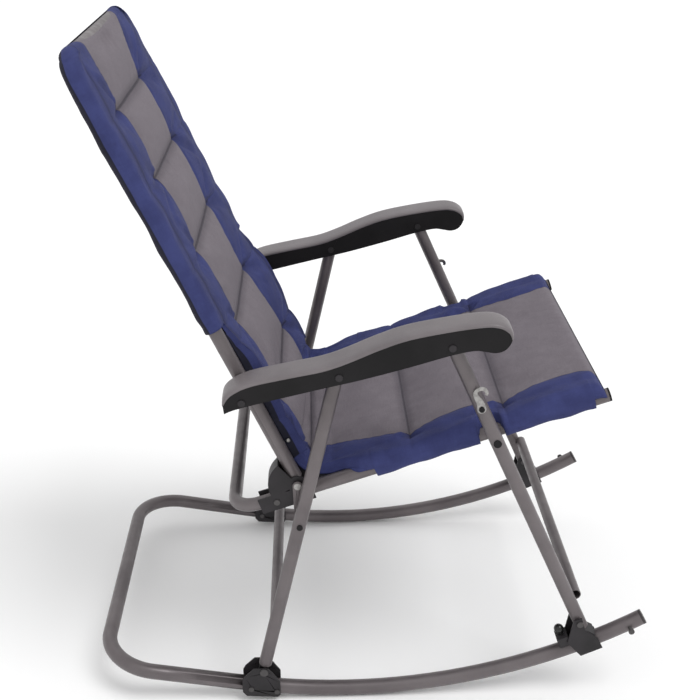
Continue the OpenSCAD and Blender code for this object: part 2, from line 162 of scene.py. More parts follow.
class Shader:
    """A small builder of node materials."""

    def __init__(self, name, color, roughness, metallic=0.0, specular=0.5):
        self.material = bpy.data.materials.new(name)
        self.material.use_nodes = True
        self.tree = self.material.node_tree
        self.bsdf = self.tree.nodes["Principled BSDF"]
        self.bsdf.inputs["Base Color"].default_value = (*color, 1)
        self.bsdf.inputs["Roughness"].default_value = roughness
        self.bsdf.inputs["Metallic"].default_value = metallic
        self.bsdf.inputs["Specular IOR Level"].default_value = specular

    def node(self, kind, **settings):
        made = self.tree.nodes.new(kind)
        for key, value in settings.items():
            setattr(made, key, value)
        return made

    def link(self, source, target):
        self.tree.links.new(source, target)

    def put(self, socket, value):
        if isinstance(value, bpy.types.NodeSocket):
            self.link(value, socket)
        else:
            socket.default_value = value

    def coords(self, kind="Object"):
        return self.node("ShaderNodeTexCoord").outputs[kind]

    def attribute(self, name):
        return self.node("ShaderNodeAttribute", attribute_name=name).outputs["Fac"]

    def noise(self, vector, scale, detail=3.0, rough=0.5):
        made = self.node("ShaderNodeTexNoise")
        self.put(made.inputs["Vector"], vector)
        made.inputs["Scale"].default_value = scale
        made.inputs["Detail"].default_value = detail
        made.inputs["Roughness"].default_value = rough
        return made.outputs["Fac"]

    def stretch(self, vector, scale):
        made = self.node("ShaderNodeMapping")
        self.put(made.inputs["Vector"], vector)
        made.inputs["Scale"].default_value = scale
        return made.outputs["Vector"]

    def math(self, operation, a, b=0.0, clamp=False):
        made = self.node("ShaderNodeMath", operation=operation, use_clamp=clamp)
        self.put(made.inputs[0], a)
        self.put(made.inputs[1], b)
        return made.outputs[0]

    def span(self, value, low, high, out_low=0.0, out_high=1.0):
        """Maps low..high to out_low..out_high on an S-curve."""
        made = self.node("ShaderNodeMapRange", interpolation_type="SMOOTHSTEP")
        limits = {"From Min": low, "From Max": high, "To Min": out_low, "To Max": out_high}
        for name, number in limits.items():
            made.inputs[name].default_value = number
        self.put(made.inputs["Value"], value)
        return made.outputs["Result"]

    def mix(self, factor, a, b):
        """Mixes two colours, each a plain tuple or another node's output."""
        made = self.node("ShaderNodeMix", data_type="RGBA")
        self.put(made.inputs[0], factor)
        for socket, value in ((made.inputs[6], a), (made.inputs[7], b)):
            self.put(socket, (*value, 1) if isinstance(value, tuple) else value)
        return made.outputs[2]

    def bump(self, height, distance, strength=1.0, under=None):
        made = self.node("ShaderNodeBump")
        self.put(made.inputs["Height"], height)
        made.inputs["Distance"].default_value = distance
        made.inputs["Strength"].default_value = strength
        if under is not None:
            self.link(under, made.inputs["Normal"])
        self.link(made.outputs["Normal"], self.bsdf.inputs["Normal"])
        return made.outputs["Normal"]


def tube_paint():
    s = Shader("tube_paint", (0.15, 0.13, 0.135), 0.4, metallic=0.35)
    where = s.coords()
    cloud = s.noise(where, 9, 4)
    speck = s.noise(where, 900, 2)
    tone = s.mix(s.span(cloud, 0.35, 0.65), (0.109, 0.094, 0.098), (0.146, 0.128, 0.132))
    s.link(s.mix(s.span(speck, 0.62, 0.75, 0, 0.5), tone, (0.22, 0.205, 0.21)), s.bsdf.inputs["Base Color"])
    s.link(s.span(s.noise(where, 60, 3), 0.3, 0.7, 0.34, 0.5), s.bsdf.inputs["Roughness"])
    s.bump(speck, 0.00004, 0.5)
    s.bsdf.inputs["Coat Weight"].default_value = 0.15
    s.bsdf.inputs["Coat Roughness"].default_value = 0.25
    return s.material


def moulded(name, dark, light, roughness, grain=0.00008, scale=1400, specular=0.22):
    """Two close tones in soft clouds, over a fine pebble grain."""
    s = Shader(name, light, roughness, specular=specular)
    where = s.coords()
    s.link(s.mix(s.span(s.noise(where, 14, 4), 0.3, 0.7), dark, light), s.bsdf.inputs["Base Color"])
    pebble = s.noise(where, scale, 1)
    s.link(s.span(pebble, 0.3, 0.7, roughness - 0.08, roughness + 0.1), s.bsdf.inputs["Roughness"])
    s.bump(pebble, grain, 0.6)
    return s.material


def zinc_plate():
    s = Shader("zinc_plate", (0.62, 0.61, 0.6), 0.3, metallic=1.0)
    where = s.coords()
    cloud = s.noise(where, 160, 4)
    tone = s.mix(s.span(cloud, 0.35, 0.65), (0.27, 0.263, 0.257), (0.39, 0.38, 0.37))
    s.link(tone, s.bsdf.inputs["Base Color"])
    brush = s.noise(s.stretch(where, (300, 300, 2500)), 1, 2)
    s.link(s.span(brush, 0.3, 0.7, 0.24, 0.42), s.bsdf.inputs["Roughness"])
    s.bump(brush, 0.00003, 0.4)
    return s.material


THREAD_PITCH = 0.0011


def pad_fabric():
    """Woven polyester: grey centre panels, blue sides, near-black binding and underside, with seams and
    painted shade in the valleys beside them.
    """
    s = Shader("pad_fabric", (0.04, 0.045, 0.12), 0.82, specular=0.14)
    uv = s.coords("UV")
    where = s.coords()
    across = s.node("ShaderNodeSeparateXYZ")
    s.link(uv, across.inputs[0])
    u, v = across.outputs[0], across.outputs[1]
    thread = 2 * math.pi / THREAD_PITCH
    warp = s.math("SINE", s.math("MULTIPLY", u, thread))
    weft = s.math("SINE", s.math("MULTIPLY", v, thread))
    weave = s.math("MULTIPLY", s.math("ABSOLUTE", warp), s.math("ABSOLUTE", weft))
    cloud = s.noise(where, 26, 5, 0.6)
    slub = s.noise(s.stretch(uv, (900, 45, 1)), 1, 3)
    slub_across = s.noise(s.stretch(uv, (45, 900, 1)), 1, 3)
    streak = s.math("ADD", slub, slub_across)
    patch = s.span(cloud, 0.3, 0.7)
    grey = s.mix(patch, (0.185, 0.163, 0.182), (0.21, 0.187, 0.207))
    blue = s.mix(patch, (0.036, 0.043, 0.14), (0.052, 0.062, 0.188))
    dark = s.mix(patch, (0.012, 0.012, 0.022), (0.022, 0.022, 0.036))
    is_grey = s.span(s.attribute("grey_edge"), -0.0004, 0.0004)
    is_dark = s.span(s.attribute("dark_edge"), -0.0005, 0.0005)
    tone = s.mix(is_dark, s.mix(is_grey, blue, grey), dark)
    tone = s.mix(s.span(streak, 0.75, 1.25, 0.0, 0.16), tone, (0.02, 0.02, 0.03))
    tone = s.mix(s.span(weave, 0.0, 0.35, 0.22, 0.0), tone, (0.01, 0.01, 0.015))
    edge = s.math("ABSOLUTE", s.attribute("grey_edge"))
    seam = s.math("ABSOLUTE", s.attribute("seam_edge"))
    line = s.math("MAXIMUM", s.span(edge, 0.0, 0.0016, 0.55, 0.0), s.span(seam, 0.0, 0.0024, 0.75, 0.0))
    # Painted shade: the colour darkens towards each seam over 16 mm, standing in for the shade in the
    # quilting's valleys
    tone = s.mix(s.span(seam, 0.0, 0.016, 0.34, 0.0), tone, (0.02, 0.018, 0.028))
    tone = s.mix(line, tone, (0.012, 0.011, 0.018))
    s.link(tone, s.bsdf.inputs["Base Color"])
    s.link(s.span(cloud, 0.3, 0.7, 0.7, 0.86), s.bsdf.inputs["Roughness"])
    s.bsdf.inputs["Sheen Weight"].default_value = 0.04
    s.bsdf.inputs["Sheen Roughness"].default_value = 0.45
    s.bsdf.inputs["Sheen Tint"].default_value = (0.75, 0.75, 0.95, 1)
    crease = s.bump(s.noise(where, 34, 5, 0.6), 0.0012, 0.55)
    s.bump(s.math("ADD", weave, s.math("MULTIPLY", streak, 0.4)), 0.00022, 0.55, under=crease)
    return s.material


def pale_floor():
    s = Shader("pale_floor", (0.95, 0.95, 0.95), 0.9, specular=0.1)
    cloud = s.noise(s.coords(), 0.6, 2)
    tone = s.mix(s.span(cloud, 0.3, 0.7), (0.94, 0.94, 0.94), (0.96, 0.96, 0.96))
    s.link(tone, s.bsdf.inputs["Base Color"])
    return s.material


# ---- Rigid parts of the frame ----

FINISH = {
    "tube": tube_paint(),
    "black": moulded("black_nylon", (0.005, 0.0045, 0.005), (0.009, 0.008, 0.009), 0.55),
    "bracket": moulded("bracket_enamel", (0.018, 0.017, 0.018), (0.031, 0.028, 0.031), 0.42, 0.00004),
    "cover": moulded("arm_cover_plastic", (0.132, 0.117, 0.123), (0.162, 0.145, 0.151), 0.4, 0.0001, 1000,
                     0.5),
    "knob": moulded("polished_knob", (0.006, 0.006, 0.006), (0.009, 0.009, 0.009), 0.2, 0.00001, 1400, 0.5),
    "plug": moulded("tube_plug", (0.045, 0.04, 0.042), (0.066, 0.058, 0.06), 0.5),
    "zinc": zinc_plate(),
    "rivet": moulded("rivet_steel", (0.045, 0.042, 0.043), (0.095, 0.09, 0.09), 0.4, 0.00003),
}

FINISH_OF = {
    "tube": ["rocker_base_tube", "rear_leg_frame", "back_frame_tube", "front_leg_frame", "seat_frame_tube",
             "left_stay_link", "right_stay_link"],
    "cover": ["left_arm_cover", "right_arm_cover"],
    "black": ["left_arm_shell", "right_arm_shell", "rail_end_caps", "seat_pivot_bolts", "hook_rivets",
              "rear_leg_foot_plugs", "rear_leg_top_plugs", "back_post_plugs", "front_leg_top_plugs",
              "arm_spacers", "seat_pivot_spacers", "back_pivot_bolts", "link_pivot_pins"],
    "knob": ["left_pull_knob", "right_pull_knob"],
    "plug": ["rocker_end_caps"],
    "bracket": ["arm_pivot_rivets", "left_leg_bracket_outer", "left_leg_bracket_inner",
                "right_leg_bracket_outer", "right_leg_bracket_inner", "left_foot_saddle",
                "right_foot_saddle", "left_pin_housing", "right_pin_housing", "left_hinge_bracket",
                "right_hinge_bracket"],
    "zinc": ["left_lock_pin", "right_lock_pin", "left_latch_hook", "right_latch_hook", "link_rivets"],
    "rivet": ["leg_bracket_screws", "rear_leg_pivot_pins", "rocker_latch_studs", "saddle_rivets",
              "hinge_bracket_rivets"],
}
EDGE_ROUND = {"tube": 0.0003, "cover": 0.0045, "black": 0.0009, "bracket": 0.001, "zinc": 0.0006,
              "rivet": 0.0006, "knob": 0.0003, "plug": 0.0016}
SHARP_ANGLE = 32


def finish_cad_nodes():
    """Gives each CAD node its material and rounds its edges. Places and shapes stay as packed."""
    for finish, names in FINISH_OF.items():
        for name in names:
            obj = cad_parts[name]
            obj.data.materials.clear()
            obj.data.materials.append(FINISH[finish])
            if "custom_normal" in obj.data.attributes:
                obj.data.attributes.remove(obj.data.attributes["custom_normal"])
            obj.data.polygons.foreach_set("use_smooth", [True] * len(obj.data.polygons))
            weld = obj.modifiers.new("weld", "WELD")
            weld.merge_threshold = 1e-5
            soft_edges(obj, EDGE_ROUND[finish], SHARP_ANGLE)
            normals = obj.modifiers.new("normals", "WEIGHTED_NORMAL")
            normals.keep_sharp = True


# ---- The pad: one quilted cover from the seat's front edge to the top bar ----

SEAT_FRONT = 504.0
SEAT_SEAMS = [190.0, 347.0]
BACK_SEAMS = [104.0, 247.0, 382.0, 510.0, 624.0]
CREASE_REACH = 56.0                             # the round crease starts this far from the corner
SEAT_SLEEVES = [(124.0, 296.0), (337.0, 484.0)]
BACK_SLEEVE_FROM = 290.0
SLEEVE_R = 14.2
SLEEVE_SEAM_Y = 213.0                           # where the front face meets the sleeve
SLEEVE_FACE = 22.0                              # least distance from that seam to the outermost line
GREY_HALF_SEAT = 152.0
GREY_HALF_BACK = 118.0
LEG_NOTCH = (304.0, 330.0)                      # the side is cut away here for the front leg
NOTCH_EASE = 9.0
FLAP_R = 11.5                                   # binding flap, just outside the tube
FLAP_PULL = 22.0                                # how far the front face draws in where the tube shows
NOTCH_PULL = 16.0
FLAP_START_ANGLE = math.radians(10)
FLAP_END_ANGLE = math.radians(158)
FRONT_ROUND = 14.0
FRONT_TURN = 11.0                               # how far the front fabric turns under the seat
BLUE_FLAP_FROM = 66.0                           # the seat's flap is blue ahead of this, dark behind it
BAR_ROUND = 13.0                                # fabric over the top bar
BAR_FACE = 12.8
RING_GAP = 4.0
EDGE_ANGLE = math.radians(118)                  # where the round side starts, seen along the tube
SLEEVE_END_ANGLE = math.radians(128)
TOP_STEPS, EDGE_STEPS, UNDER_STEPS = 46, 18, 16
FAR = 50.0                                      # a distance that no seam's shade reaches
INSIDE, OUTSIDE = 0.05, -0.05                   # colour edge values well clear of the edge, in m
BAR_SAG = 5.0                                   # dip of the top edge between its corners
SAG_HALF = 178.0
MOVE_CAP = 0.0045                               # most that the cloth simulation may move a point, in m


def step(point, angle, along):
    """The point that far along a heading in the side plane."""
    return np.array([point[0] + along * math.cos(angle), point[1] + along * math.sin(angle)])


def smooth(value, low=0.0, high=1.0):
    """0 below low, 1 above high, and an S-curve between."""
    t = min(1.0, max(0.0, (value - low) / (high - low)))
    return t * t * (3 - 2 * t)


class PadPath:
    """The middle line of the pad in the side plane, in millimetres: rail, crease, back post."""

    def __init__(self):
        hinge = np.array([HINGE.x, HINGE.z]) / MM
        self.hinge = hinge
        self.rail_foot = step(hinge, RAIL_TILT - math.pi / 2, HINGE_RISE)
        rail = np.array([math.cos(RAIL_TILT), math.sin(RAIL_TILT)])
        post = np.array([math.cos(BACK_LEAN), math.sin(BACK_LEAN)])
        gap = hinge - self.rail_foot
        cross_seat, cross_back = np.linalg.solve(np.column_stack([rail, -post]), gap)
        turn = math.pi - (BACK_LEAN - RAIL_TILT)
        self.arc_r = CREASE_REACH / math.tan(turn / 2)
        self.turn = turn
        self.seat_from = cross_seat + CREASE_REACH
        self.back_from = cross_back + CREASE_REACH
        self.rail, self.post = rail, post
        self.arc_len = self.arc_r * turn
        self.seat_len = SEAT_FRONT - self.seat_from

    def at(self, t):
        """Point, front normal, kind and distance along that member, t millimetres from the front edge."""
        up = np.array([-self.rail[1], self.rail[0]])
        if t <= self.seat_len:
            along = SEAT_FRONT - t
            return (self.rail_foot + self.rail * along, up, "seat", along)
        if t < self.seat_len + self.arc_len:
            angle = (t - self.seat_len) / self.arc_r
            start = self.rail_foot + self.rail * self.seat_from
            centre = start + up * self.arc_r
            heading = RAIL_TILT + math.pi / 2 - angle
            normal = np.array([math.cos(heading), math.sin(heading)])
            return (centre - normal * self.arc_r, normal, "crease", angle / self.turn)
        along = self.back_from + t - self.seat_len - self.arc_len
        return (self.hinge + self.post * along, np.array([self.post[1], -self.post[0]]), "back", along)

    def t_of(self, kind, along):
        if kind == "seat":
            return SEAT_FRONT - along
        return self.seat_len + self.arc_len + along - self.back_from


PATH = PadPath()


def quilt_phase(t, seams):
    """How far t is between the seams on each side of it, and the distance to the nearer one."""
    after = next((k for k, s in enumerate(seams) if s > t), len(seams) - 1)
    low, high = seams[max(0, after - 1)], seams[after]
    return min(1, max(0, (t - low) / (high - low))), min(abs(t - low), abs(high - t))


SEAMS = ([PATH.t_of("seat", SEAT_FRONT + 6)] + [PATH.t_of("seat", a) for a in reversed(SEAT_SEAMS)]
         + [PATH.seat_len + PATH.arc_len / 2] + [PATH.t_of("back", a) for a in BACK_SEAMS]
         + [PATH.t_of("back", BAR_AT + 60)])


def stations():
    """Distances along the path, closer together at both ends, at the seams and where the sleeves end."""
    first = [FRONT_ROUND * (1 - math.cos(a * math.pi / 12)) for a in range(1, 7)]
    last_t = PATH.t_of("back", BAR_AT)
    middle = list(np.arange(first[-1] + RING_GAP, last_t, RING_GAP))
    cap = [last_t + BAR_ROUND * math.sin(a * math.pi / 16) for a in range(9)]
    ends = [PATH.t_of("seat", a + d) for span in SEAT_SLEEVES for a in span for d in (-0.6, 0.6)]
    ends += [PATH.t_of("back", BACK_SLEEVE_FROM + d) for d in (-0.6, 0.6)]
    ends += [seam + d for seam in SEAMS[1:-1] for d in (-2.6, -0.9, 0.9, 2.6)]
    middle = [m for m in middle if min(abs(m - e) for e in ends) > 1.2]
    return sorted(first + middle + cap + ends)


def boundary_y(kind, along, phase):
    """Where the grey centre meets the blue side."""
    swell = math.sin(math.pi * phase ** 0.8) ** 0.8
    if kind == "seat":
        return GREY_HALF_SEAT + (40.0 - 17.0 * swell) * smooth(along, 45, 150)
    if kind == "crease":
        return GREY_HALF_SEAT
    base = GREY_HALF_SEAT + (GREY_HALF_BACK - GREY_HALF_SEAT) * smooth(along, 40, 250)
    return base - 9.0 * swell + 36 * smooth(along, 612, 742) + 14 * smooth(along, 732, 750)


def is_sleeve(kind, along):
    if kind == "seat":
        return any(a < along < b for a, b in SEAT_SLEEVES)
    return kind == "back" and along > BACK_SLEEVE_FROM


def tube_centre_y(kind, along):
    """The tube's centreline, which turns inwards at the top corners."""
    if kind == "back" and along > BAR_AT - CORNER_R:
        run = min(CORNER_R, along - BAR_AT + CORNER_R)
        return RAIL_Y - CORNER_R + math.sqrt(max(0, CORNER_R ** 2 - run ** 2))
    return RAIL_Y


def outer_y(kind, along):
    """The sleeve's outermost line."""
    if kind == "back" and along > BAR_AT - CORNER_R:
        reach = CORNER_R + SLEEVE_R
        run = min(reach, along - BAR_AT + CORNER_R)
        return RAIL_Y - CORNER_R + math.sqrt(max(0, reach ** 2 - run ** 2))
    return RAIL_Y + SLEEVE_R


def ripple(x, y, z, size, depth):
    return depth * noise.noise(Vector((x / size, y / size, z / size)))


def fold(along, across, length, width, depth):
    """A soft fold that runs along the pad: rounded ridges with narrow valleys."""
    value = noise.noise(Vector((along / length, across / width, 0.37 * width)))
    return depth * (0.5 - min(1.0, abs(value) * 2.6))


def seam_fold(t, beyond):
    """Folds that spread from the end of each seam out over the side of the pad."""
    depth = 0.0
    for number, seam in enumerate(SEAMS[1:-1]):
        lean = 0.42 + 0.25 * math.sin(number * 2.4)
        for slope, size, width in ((lean, 6.8, 6.5), (lean - 1.0, 4.0, 5.0)):
            off = (t - seam + slope * beyond) / (width + 0.11 * beyond)
            depth -= size * math.exp(-off * off) - 0.45 * size * math.exp(-(off - 1.9) ** 2)
    return depth * smooth(beyond, -2, 10) * (1 - smooth(beyond, 55, 95))


def gathers(y, along):
    """Gathered folds that run down from the middle of the top edge."""
    fade = smooth(along, 655, 708) * (1 - smooth(along, 724, 737)) * math.exp(-((y + 4) / 58) ** 4)
    slant = y + (740 - along) * 0.12
    wave = math.sin(slant / 3.4 + 1.9 * math.sin(slant / 19)) + 0.45 * math.sin(slant / 1.9 + 1)
    return fade * 1.9 * (abs(wave) - 0.7)


def front_puckers(y, along):
    """Small puckers along the stitched front edge of the seat."""
    fade = smooth(along, 410, 485) * smooth(170 - abs(y), 0, 30)
    wave = noise.noise(Vector((along / 90, (y + 0.35 * along) / 5.5, 2.1)))
    return fade * 1.2 * wave


def near_seat(kind, along, low, high):
    """1 at the crease, falling to 0 between two distances up the back."""
    return 1 - smooth(along, low, high) if kind == "back" else 1.0


def puff_of(kind, phase):
    """How full the quilting is between two seams, with the fuller shoulder just below each seam."""
    lopsided = phase if kind == "seat" else 1 - phase
    lopsided = min(1.0, max(0.0, lopsided)) ** 0.78
    return (4 * lopsided * (1 - lopsided)) ** 0.5


def side_level(kind, along, puff):
    """Middle height and rise of the round edge at the tube."""
    if kind == "back":
        full = near_seat(kind, along, 215, 296)
        return -0.6 + 3.0 * full, 14.2 + 2.2 * puff + (12.0 + 4.0 * puff) * full
    front = smooth(along, 150, 400) if kind == "seat" else 0.0
    return 3.0 + 1.5 * front, 15.5 + 8.5 * puff + 2.5 * front


def end_taper(kind, along, reach):
    """Rounds the pad off over the top bar and at the front edge of the seat."""
    if kind == "seat" and along > SEAT_FRONT - FRONT_ROUND:
        return math.sqrt(max(0.02, 1 - ((along - SEAT_FRONT + FRONT_ROUND) / FRONT_ROUND) ** 2))
    if kind == "back" and along > BAR_AT:
        return math.sqrt(max(0.0, 1 - ((along - BAR_AT) / reach) ** 2))
    return 1.0


def panel_level(kind, along):
    """Height of the front face at a seam, and how far it rises between seams."""
    if kind == "back":
        return 1.6 + 13.0 * near_seat(kind, along, 60, 330), 12.6
    return 12.0 + 5.0 * (smooth(along, 150, 400) if kind == "seat" else 0), 11.2


def top_height(kind, along, t, y):
    """Height of the front face over the plane through the tubes' centrelines."""
    phase = quilt_phase(t, SEAMS)[0]
    puff = puff_of(kind, phase)
    side = boundary_y(kind, along, phase)
    low, rise = panel_level(kind, along)
    share = abs(y) / side
    if share <= 1:
        height = low + rise * puff * (1 - 0.25 * share ** 6) + 1.5 * puff * (1 - share ** 2)
    else:
        v = min(1, (abs(y) - side) / max(1, SLEEVE_SEAM_Y - side))
        middle, high = side_level(kind, along, puff)
        edge = middle + math.sin(EDGE_ANGLE) * high
        base = low + rise * 0.75 * puff
        blend = v ** 1.6 if kind != "back" else smooth(v) ** 0.8
        height = base + (edge - base) * blend + 3.0 * puff * math.sin(math.pi * v)
        height += seam_fold(t, abs(y) - side) * (1 - smooth(v, 0.8, 1.0))
    height -= 1.2 * math.exp(-((abs(y) - side) / 2.6) ** 2)
    if kind == "back" and along > BAR_AT - 48:
        bar = BAR_FACE * end_taper(kind, along, BAR_FACE)
        height += (bar - height) * smooth(along, BAR_AT - 48, BAR_AT - 4)
        height += gathers(y, along)
    if kind == "seat":
        height = (height + front_puckers(y, along)) * end_taper(kind, along, 0)
    return height


def under_height(kind, along):
    """Height of the underside or rear face, which is flat and follows the top bar at its end."""
    height = -7.0
    if kind == "back" and along > BAR_AT - 40:
        bar = -BAR_FACE * end_taper(kind, along, BAR_FACE)
        height += (bar - height) * smooth(along, BAR_AT - 40, BAR_AT - 4)
    return height * (end_taper(kind, along, 0) if kind == "seat" else 1)


def notch_amount(kind, along):
    """1 where the side of the seat is cut away for the front leg."""
    if kind != "seat":
        return 0.0
    start, end = LEG_NOTCH
    return smooth(along, start - NOTCH_EASE, start) * (1 - smooth(along, end, end + NOTCH_EASE))


def edge_point(kind, along, angle, centre, outer, seam_y, hem, cap, puff):
    """A point on the round outer edge over the tube; angle 90 degrees is straight up from the tube."""
    middle, high = side_level(kind, along, puff)
    if math.sin(angle) < 0:
        high = SLEEVE_R + middle + (0.0 if kind == "seat" else 0.6)
    grow = 1 + hem * 0.05
    wide = (outer - centre) if math.cos(angle) > 0 else centre - seam_y
    wide /= abs(math.cos(EDGE_ANGLE)) if math.cos(angle) <= 0 and math.sin(angle) > 0 else 1.0
    return centre + math.cos(angle) * wide * grow, (middle + math.sin(angle) * high * grow) * cap


def sleeve_rows(kind, along, centre, outer, seam_y, hem, cap, puff):
    """The round side where the fabric wraps the tube, as (y, height, dark_edge)."""
    rows = []
    for k in range(1, EDGE_STEPS):
        angle = EDGE_ANGLE - (EDGE_ANGLE + SLEEVE_END_ANGLE) * k / EDGE_STEPS
        y, height = edge_point(kind, along, angle, centre, outer, seam_y, hem, cap, puff)
        rows.append((y, height, (-(height + 5.0) if kind == "back" else -(height + 30)) * MM))
    return rows


def flap_rows(kind, along, centre, outer, seam_y, cap, puff):
    """The side where the tube shows: the front face turns down to a flap that lies on the tube."""
    half = EDGE_STEPS // 2 + 2
    pull = FLAP_PULL
    if kind == "seat":
        pull = max(NOTCH_PULL * notch_amount(kind, along), FLAP_PULL * (1 - smooth(along, 60, 123)))
    lowest = 3.0 + 9.0 * smooth(pull, 5, 20)
    rows = []
    for k in range(1, half):
        angle = EDGE_ANGLE - (EDGE_ANGLE - FLAP_START_ANGLE) * k / (half - 1)
        y, height = edge_point(kind, along, angle, centre, outer, seam_y, 0, cap, puff)
        rows.append((max(seam_y + 0.5, y - pull * smooth(y, seam_y, outer)), max(height, lowest)))
    start = math.atan2(max(3.0, rows[-1][1] - 3.0), rows[-1][0] - centre)
    for k in range(half, EDGE_STEPS):
        angle = start + (FLAP_END_ANGLE - start) * (k - half) / (EDGE_STEPS - 1 - half)
        rows.append((centre + FLAP_R * math.cos(angle), FLAP_R * math.sin(angle)))
    tall = max(height for y, height in rows)
    edge = 0.62 * tall if kind == "back" else 6.5
    dark = [(edge - height) * MM if k < half else INSIDE for k, (y, height) in enumerate(rows)]
    return [(y, height, value) for (y, height), value in zip(rows, dark)]


def half_loop(t):
    """Half a cross-section, from the middle of the front face to the middle of the back face.

    Each row is (y, height, grey_edge, dark_edge): the last two are above 0 on grey and on dark fabric.
    The second value is the place on the path, and the distance to the nearest cross seam."""
    point, normal, kind, along = PATH.at(t)
    phase, near = quilt_phase(t, SEAMS)
    outer = outer_y(kind, along)
    centre = tube_centre_y(kind, along)
    seam_y = min(SLEEVE_SEAM_Y, outer - SLEEVE_FACE)
    side = min(boundary_y(kind, along, phase), seam_y - 4)
    cap = end_taper(kind, along, BAR_ROUND)
    rows = []
    for k in range(TOP_STEPS + 1):
        y = seam_y * k / TOP_STEPS
        rows.append((y, top_height(kind, along, t, y), (side - y) * MM, -1.0))
    puff = puff_of(kind, phase)
    if is_sleeve(kind, along):
        spans = SEAT_SLEEVES if kind == "seat" else [(BACK_SLEEVE_FROM, 2000)]
        hem = max(math.exp(-(min(abs(along - a), abs(b - along)) / 9.0) ** 4) for a, b in spans)
        edge = sleeve_rows(kind, along, centre, outer, seam_y, hem, cap, puff)
    else:
        edge = flap_rows(kind, along, centre, outer, seam_y, cap, puff)
    blue_flap = kind == "seat" and along > BLUE_FLAP_FROM
    rows += [(y, height, OUTSIDE, OUTSIDE if blue_flap else dark) for y, height, dark in edge]
    front_edge = kind == "seat" and along > SEAT_FRONT - FRONT_TURN
    under = under_height(kind, along)
    for k in range(UNDER_STEPS + 1):
        y = seam_y * (1 - k / UNDER_STEPS)
        colours = ((side - y) * MM, OUTSIDE) if front_edge else (OUTSIDE, INSIDE)
        rows.append((y, under, *colours))
    return rows, (point, normal, kind, along, near)


def top_sag(kind, along, y):
    """The top bar's cover dips a little between its corners."""
    if kind != "back":
        return 0.0
    return -BAR_SAG * smooth(along, 650, 742) * max(0.0, 1 - (y / SAG_HALF) ** 2)


def crumple(kind, along, t, y, run, top):
    """How far the cloth stands off its smooth shape: long folds at the sides, faint waves in the middle."""
    if top and abs(y) < boundary_y(kind, along, 0.0):
        return ripple(t, y, 0, 60, 0.9) + ripple(t, y, 3, 23, 0.25)
    lean = abs(run) + 11 * math.sin(t / 70)
    push = fold(t, lean, 70, 34, 0.8) + ripple(t, run, 7, 42, 2.6) + ripple(t, run, 7, 16, 0.4)
    return push * (1.0 if kind != "crease" else 0.5)


SIMULATED_FRAMES = 20


def inflate(obj, held, share):
    """Cloth simulation: air pressure fills the quilted panels between the held seams.

    Each point keeps its share of the movement, which falls to nothing at the two ends."""
    before = np.array([v.co for v in obj.data.vertices])
    group = obj.vertex_groups.new(name="held")
    for index, weight in enumerate(held):
        if weight > 0:
            group.add([index], weight, "REPLACE")
    cloth = obj.modifiers.new("cloth", "CLOTH")
    made = cloth.settings
    made.quality = 5
    made.mass = 0.2
    made.tension_stiffness = made.compression_stiffness = 40
    made.shear_stiffness = 4
    made.bending_stiffness = 1.5
    made.vertex_group_mass = "held"
    made.use_pressure = True
    made.uniform_pressure_force = 4
    made.shrink_min = -0.004
    made.effector_weights.gravity = 0
    cloth.collision_settings.use_collision = False
    scene = bpy.context.scene
    for number in range(1, SIMULATED_FRAMES + 1):
        scene.frame_set(number)
    shown = obj.evaluated_get(bpy.context.evaluated_depsgraph_get())
    moved = np.array([v.co for v in shown.data.vertices]) - before
    far = np.linalg.norm(moved, axis=1, keepdims=True)
    moved *= MOVE_CAP * np.tanh(far / MOVE_CAP) / np.maximum(far, 1e-9) * np.array(share)[:, None]
    obj.modifiers.remove(cloth)
    obj.vertex_groups.remove(group)
    obj.data.vertices.foreach_set("co", (before + moved).ravel())
    obj.data.update()
    scene.frame_set(1)


def ring_points(t, last_t):
    """One cross-section of the pad: for each point its place, UV, three edge values, share and hold."""
    rows, (point, normal, kind, along, near) = half_loop(t)
    loop = rows + [(-y, h, g, d) for y, h, g, d in reversed(rows[1:-1])]
    count, half = len(loop), len(rows)
    flat = np.array([(y, h) for y, h, g, d in loop])
    ahead = np.roll(flat, -1, 0) - np.roll(flat, 1, 0)
    ahead /= np.maximum(np.linalg.norm(ahead, axis=1, keepdims=True), 1e-6)
    runs = np.concatenate([[0], np.cumsum(np.linalg.norm(np.diff(flat, axis=0), axis=1))])
    around = runs[-1] + np.linalg.norm(flat[0] - flat[-1])
    taper = end_taper(kind, along, BAR_ROUND) if kind != "crease" else 1.0
    share = smooth(t, 18, 100) * smooth(last_t - t, 8, 60)
    points = []
    for k, (y, h, grey, dark) in enumerate(loop):
        top = k <= TOP_STEPS or k >= count - TOP_STEPS
        under = half - UNDER_STEPS <= k <= half + UNDER_STEPS - 2
        run = runs[k] if k < half else runs[k] - around
        if not under:
            push = crumple(kind, along, t, y, run, top) * taper
            y, h = y - ahead[k][1] * push, h + ahead[k][0] * push
        x, z = point + normal * h + PATH.post * top_sag(kind, along, y)
        stitched = abs(abs(run) - runs[TOP_STEPS]) if kind == "back" and not under else FAR
        seam = min(near if grey > -0.03 else FAR, stitched + 0.6)
        sewn = abs(grey) < 0.0022 or (near < 1.5 and grey > -0.012)
        held = 0.0 if top and not sewn and 0.03 < taper else 1.0
        place, uv = (x * MM, y * MM, z * MM), (run * MM, t * MM)
        points.append((place, uv, grey, dark, seam * MM, share, held))
    return points


